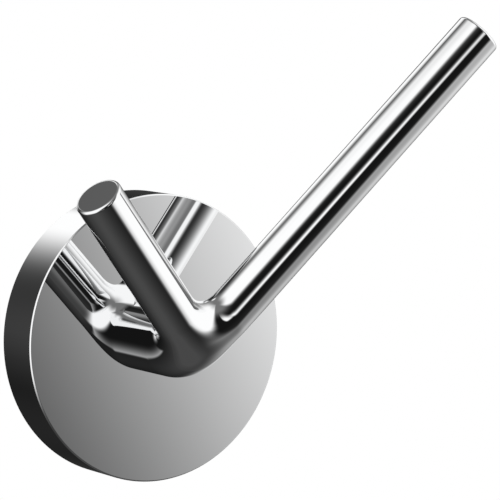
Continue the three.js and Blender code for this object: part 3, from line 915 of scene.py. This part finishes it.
class WALLHOOK_OT_hook_fixings(bpy.types.Operator):
    """Make the screw and the two washers inside the rosette"""

    bl_idname = "wall_hook.hook_fixings"
    bl_label = "Hook screw and washers"

    def execute(self, context):
        sizes = context.scene.fixing_sizes
        hole = sizes.hook_washer_hole
        box, at = span("hook_washer"), middle("hook_washer")
        flat = make_object("neck_washer", washer_ring(hole, box.x / 2, box.y, sizes.washer_edge, at))
        hand_over(flat, "hook_washer", "hook_cover", "zinc_plated_steel")
        box, at = span("hook_lock_washer"), middle("hook_lock_washer")
        ring = split_ring(hole, box.z / 2, box.y, sizes.lock_washer_edge, at, sizes.lock_washer_split)
        hand_over(make_object("spring_washer", ring), "hook_lock_washer", "hook_cover", "black_steel")
        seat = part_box("hook_screw")[1].y - sizes.hook_screw_head
        screw = make_object("button_screw", hook_screw_shell(sizes, (0, seat, middle("hook_screw").z)))
        hand_over(screw, "hook_screw", "hook_cover", "zinc_plated_steel")
        return {"FINISHED"}


class WALLHOOK_OT_grub_screw(bpy.types.Operator):
    """Make the grub screw in the rim"""

    bl_idname = "wall_hook.grub_screw"
    bl_label = "Grub screw"

    def execute(self, context):
        low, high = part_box("grub_screw")
        at = (0, (low.y + high.y) / 2, low.z)
        piece = make_object("set_screw", grub_screw_shell(context.scene.fixing_sizes, at, high.z - low.z))
        hand_over(piece, "grub_screw", "clamp_screw", "black_steel")
        return {"FINISHED"}


class WALLHOOK_OT_bracket(bpy.types.Operator):
    """Make the cast bracket with its pocket, counterbores and notch"""

    bl_idname = "wall_hook.bracket"
    bl_label = "Wall bracket"

    def execute(self, context):
        sizes = context.scene.fixing_sizes
        low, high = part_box("wall_bracket")
        radius = (high.x - low.x) / 2
        front = low.y
        soft = sizes.bracket_softening
        line = rounded(
            [
                (0, front, 0),
                (radius - sizes.bracket_chamfer, front, soft),
                (radius, front + sizes.bracket_chamfer, soft),
                (radius, 0, soft),
                (0, 0, 0),
            ]
        )[1:-1]
        rows = turned(turn_angles(BRACKET_TURN), *line.T)
        piece = make_object("cast_bracket", tube(rows, (0, front, 0), (0, 0, 0)))
        edge = sizes.bracket_edge
        flare = edge + CUT_PAST
        seat = -sizes.bracket_seat
        mouth = ((flare, front - CUT_PAST), (0, front + edge))
        inner_mouth = ((flare, seat - CUT_PAST), (0, seat + edge))
        back = ((0, -edge), (flare, CUT_PAST))
        at = (0, 0, middle("hook_screw").z)
        tools = [bar("pocket", sizes.pocket / 2, (*mouth, (0, front + sizes.pocket_depth)), at=at)]
        for node in ("wall_screw_upper", "wall_screw_lower"):
            at = (0, 0, middle(node).z)
            tools.append(bar("counterbore", sizes.counterbore / 2, (*mouth, (0, seat)), at=at))
            tools.append(bar("screw_hole", sizes.bracket_hole / 2, (*inner_mouth, *back), at=at))
        notch = (sizes.notch_width / 2, -radius - CUT_PAST, -sizes.notch_floor)
        tools.append(block("notch", *notch, (*mouth, *back)))
        carve(piece, tools)
        hand_over(piece, "wall_bracket", "wall_side", "zinc_casting")
        return {"FINISHED"}


class WALLHOOK_OT_wall_fixings(bpy.types.Operator):
    """Make the wall screws, their washers and their plugs"""

    bl_idname = "wall_hook.wall_fixings"
    bl_label = "Wall screws, washers and plugs"

    def execute(self, context):
        sizes = context.scene.fixing_sizes
        for place in ("upper", "lower"):
            node = f"screw_washer_{place}"
            box = span(node)
            ring = washer_ring(sizes.wall_washer_hole, box.x / 2, box.y, sizes.washer_edge, middle(node))
            hand_over(make_object(f"bracket_washer_{place}", ring), node, "wall_side", "zinc_plated_steel")
            node = f"wall_screw_{place}"
            low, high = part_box(node)
            seat = low.y + sizes.wall_screw_head
            shell = wall_screw_shell(sizes, (0, seat, middle(node).z), high.y - seat, (high.x - low.x) / 2)
            hand_over(make_object(f"pan_screw_{place}", shell), node, "wall_side", "zinc_plated_steel")
            node = f"wall_plug_{place}"
            low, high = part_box(node)
            level = middle(node).z
            outer = (high.z - low.z) / 2
            plug = make_object(f"split_plug_{place}", plug_sleeve(sizes, (0, 0, level), high.y, outer))
            half = sizes.plug_slot / 2
            ends = ((0, sizes.plug_collar), (0, high.y + outer))
            carve(plug, [block("plug_slot", outer * 2, level - half, level + half, ends)])
            hand_over(plug, node, "wall_side", "grey_nylon")
        return {"FINISHED"}


class WALLHOOK_OT_stage(bpy.types.Operator):
    """Set up the camera, the floor and the studio light"""

    bl_idname = "wall_hook.stage"
    bl_label = "Camera and studio"

    def execute(self, context):
        scene = context.scene
        scene.view_settings.view_transform = "Standard"
        settings = scene.studio_settings
        place_camera(scene, settings)
        lay_floor(settings)
        light_studio(scene, settings)
        return {"FINISHED"}


def place_camera(scene, settings):
    """Camera on a line from the middle of the mirror face, then panned and tilted off that line."""
    azimuth, elevation = settings.azimuth, settings.elevation
    level = math.cos(elevation)
    out = Vector((-math.sin(azimuth) * level, -math.cos(azimuth) * level, math.sin(elevation)))

    def sides(ahead):
        right = ahead.cross(Vector((0, 0, 1))).normalized()
        return right, right.cross(ahead)

    right, up = sides(-out)
    panned = math.sin(settings.pan) * right - math.cos(settings.pan) * out
    ahead = math.cos(settings.tilt) * panned + math.sin(settings.tilt) * up
    right, up = sides(ahead)
    data = bpy.data.cameras.new("photo_camera")
    data.lens = settings.lens
    data.sensor_width = 36
    data.clip_start = 0.01
    data.clip_end = 50
    camera = bpy.data.objects.new("photo_camera", data)
    scene.collection.objects.link(camera)
    place = Vector((0, -scene.rosette_sizes.depth, 0)) + out * settings.distance
    camera.matrix_world = Matrix.Translation(place) @ Matrix((right, up, -ahead)).transposed().to_4x4()
    scene.camera = camera


def lay_floor(settings):
    """A level disc in rings whose edge fades out; the chrome mirrors the studio's own ground in its place."""
    radius = settings.floor_radius
    rings = np.linspace(0.1, 1, 10) * radius
    level = np.full_like(rings, -settings.floor_drop)
    floor = make_object("floor", tube(turned(turn_angles(TOOL_TURN), rings, level, "Z"), (0, 0, level[0])))
    material, tree, shader, place = finish("pale_floor", 0)
    shader.inputs["Base Color"].default_value = (*settings.floor, 1)
    shader.inputs["Roughness"].default_value = 0.8
    flat = tree.nodes.new("ShaderNodeVectorMath")
    flat.operation = "MULTIPLY"
    flat.inputs[1].default_value = (1, 1, 0)
    tree.links.new(place, flat.inputs[0])
    reach = tree.nodes.new("ShaderNodeVectorMath")
    reach.operation = "LENGTH"
    tree.links.new(flat.outputs[0], reach.inputs[0])
    fade_start, fade_end = radius * 0.35, radius * 0.98
    fade = spread(tree, reach.outputs["Value"], fade_start, fade_end, 1, 0, "SMOOTHSTEP")
    tree.links.new(fade, shader.inputs["Alpha"])
    floor.data.materials.append(material)
    floor.visible_glossy = False


def studio_panels(tree, compass, height):
    """Masks of the white panels that the chrome mirrors, by compass and height in degrees. Each edge is given
    by what it is measured along, its middle and the width over which it fades."""

    def slanting(value, offset, along, low, high, slope):
        """A measure that is offset, and shifts by a slope with another one between two ends."""
        held = number(tree, "MINIMUM", number(tree, "MAXIMUM", along, low), high)
        return number(tree, "MULTIPLY_ADD", held, slope, number(tree, "ADD", value, offset))

    def edge(measure, centre, fade, near, far):
        return spread(tree, measure, centre - fade / 2, centre + fade / 2, near, far, "SMOOTHSTEP")

    def panel(left, right, bottom, top):
        mask = number(tree, "MULTIPLY", edge(*left, 0, 1), edge(*right, 1, 0))
        mask = number(tree, "MULTIPLY", mask, edge(*bottom, 0, 1))
        return number(tree, "MULTIPLY", mask, edge(*top, 1, 0))

    behind = number(tree, "FLOORED_MODULO", compass, 360.0)
    leaning = slanting(compass, 6.5, height, -45.0, 45.0, -0.216)
    kinked = slanting(compass, 3.6, height, -30.0, 5.0, 0.22)
    kinked = slanting(kinked, 0.0, height, -11.0, -4.0, 0.21)
    dropped = slanting(height, -7.8, compass, 35.0, 90.0, 0.223)
    return (
        # Wide panel on the left, whose right edge leans
        panel((compass, -138.2, 49.1), (leaning, -42.6, 21.2), (height, -40.6, 40.4), (height, 64.4, 29)),
        # Low and tall strips in front, right of the camera
        panel((compass, -13.2, 15.4), (compass, -1.1, 7.2), (height, -5.4, 15.7), (height, 12, 15.6)),
        panel((compass, -2.6, 12.5), (compass, 8, 3.4), (height, 2.1, 7), (height, 30, 36)),
        # Low panel under the camera
        panel((compass, -60, 18), (compass, -17.6, 5.6), (height, -27.5, 5.4), (height, -23.6, 40.2)),
        # Wide panel on the right, with a kinked left edge and a lower edge that drops
        panel((kinked, 30.25, 14.4), (compass, 128, 79.4), (dropped, -28.4, 46.6), (height, 80, 50)),
        # Panel behind the object, and its taller part
        panel((behind, 162, 16), (behind, 195, 32), (height, -3.5, 3), (height, 43, 1)),
        panel((behind, 165, 12), (behind, 184, 10), (height, 40, 8), (height, 55, 10)),
    )


def light_studio(scene, settings):
    """The world is the studio. The camera sees plain white. Metal mirrors white panels, the dark gaps between
    them, a ground that pales downwards and a ceiling that pales upwards. Matte pieces get an even light, a
    little stronger from above."""
    world = bpy.data.worlds.new("studio")
    world.use_nodes = True
    scene.world = world
    tree = world.node_tree
    tree.nodes.clear()
    direction = tree.nodes.new("ShaderNodeTexCoord").outputs["Generated"]
    parts = tree.nodes.new("ShaderNodeSeparateXYZ")
    tree.links.new(direction, parts.inputs[0])
    x, y, z = parts.outputs
    compass = number(tree, "DEGREES", number(tree, "ARCTAN2", x, number(tree, "MULTIPLY", y, -1.0)))
    height = number(tree, "DEGREES", number(tree, "ARCSINE", z))
    gap = settings.gap
    ground_heights, ceiling_heights = (-71.9, -13.1), (19.2, 56.6)
    ground = spread(tree, height, *ground_heights, settings.ground, gap)
    ceiling = spread(tree, height, *ceiling_heights, gap, settings.ceiling, "SMOOTHSTEP")
    dark = number(tree, "SUBTRACT", 1.0, number(tree, "MAXIMUM", ground, ceiling))
    for mask in studio_panels(tree, compass, height):
        dark = number(tree, "MULTIPLY", dark, number(tree, "SUBTRACT", 1.0, mask))
    shown = number(tree, "SUBTRACT", 1.0, dark)
    lifted = number(tree, "MULTIPLY_ADD", shown, 1.0 - SCREEN_FOOT, SCREEN_FOOT)
    mirrored = number(tree, "MULTIPLY", number(tree, "POWER", lifted, SCREEN_POWER), settings.panels)

    path = tree.nodes.new("ShaderNodeLightPath").outputs
    seen = blend(tree, path["Is Camera Ray"], mirrored, 1.0)
    from_below, from_above = settings.soft_light * 0.75, settings.soft_light * 1.25
    even = spread(tree, z, -1, 1, from_below, from_above)
    sharp = number(tree, "MAXIMUM", path["Is Camera Ray"], path["Is Glossy Ray"])
    sharp = number(tree, "MAXIMUM", sharp, path["Is Transmission Ray"])
    background = tree.nodes.new("ShaderNodeBackground")
    tree.links.new(blend(tree, sharp, even, seen), background.inputs["Strength"])
    background.inputs["Color"].default_value = (1, 1, 1, 1)
    output = tree.nodes.new("ShaderNodeOutputWorld")
    tree.links.new(background.outputs[0], output.inputs["Surface"])


class WALLHOOK_PT_panel(bpy.types.Panel):
    """Lists the steps and the sizes"""

    bl_idname = "WALLHOOK_PT_panel"
    bl_label = "Double wall hook"
    bl_space_type = "VIEW_3D"
    bl_region_type = "UI"
    bl_category = "Wall hook"

    def draw(self, context):
        for step in STEPS:
            self.layout.operator(step.bl_idname)
        for name in GROUPS:
            box = self.layout.box()
            box.label(text=name.replace("_", " ").capitalize())
            group = getattr(context.scene, name)
            for key in group.__annotations__:
                box.prop(group, key)


GROUPS = {
    "rosette_sizes": RosetteSizes,
    "hook_sizes": HookSizes,
    "fixing_sizes": FixingSizes,
    "finish_colours": FinishColours,
    "studio_settings": StudioSettings,
}
STEPS = (
    WALLHOOK_OT_rosette,
    WALLHOOK_OT_hook,
    WALLHOOK_OT_hook_fixings,
    WALLHOOK_OT_grub_screw,
    WALLHOOK_OT_bracket,
    WALLHOOK_OT_wall_fixings,
    WALLHOOK_OT_stage,
)


def register():
    """Adds the classes, and the settings to the scene."""
    for kind in (*GROUPS.values(), *STEPS, WALLHOOK_PT_panel):
        bpy.utils.register_class(kind)
    for name, kind in GROUPS.items():
        setattr(bpy.types.Scene, name, PointerProperty(type=kind))


def unregister():
    """Takes the settings and the classes away again."""
    for name in GROUPS:
        delattr(bpy.types.Scene, name)
    for kind in (WALLHOOK_PT_panel, *reversed(STEPS), *reversed(list(GROUPS.values()))):
        bpy.utils.unregister_class(kind)


def main():
    """Registers the add-on and makes every piece and the stage."""
    register()
    steps = bpy.ops.wall_hook
    steps.rosette()
    steps.hook()
    steps.hook_fixings()
    steps.grub_screw()
    steps.bracket()
    steps.wall_fixings()
    steps.stage()


if __name__ == "__main__":
    main()
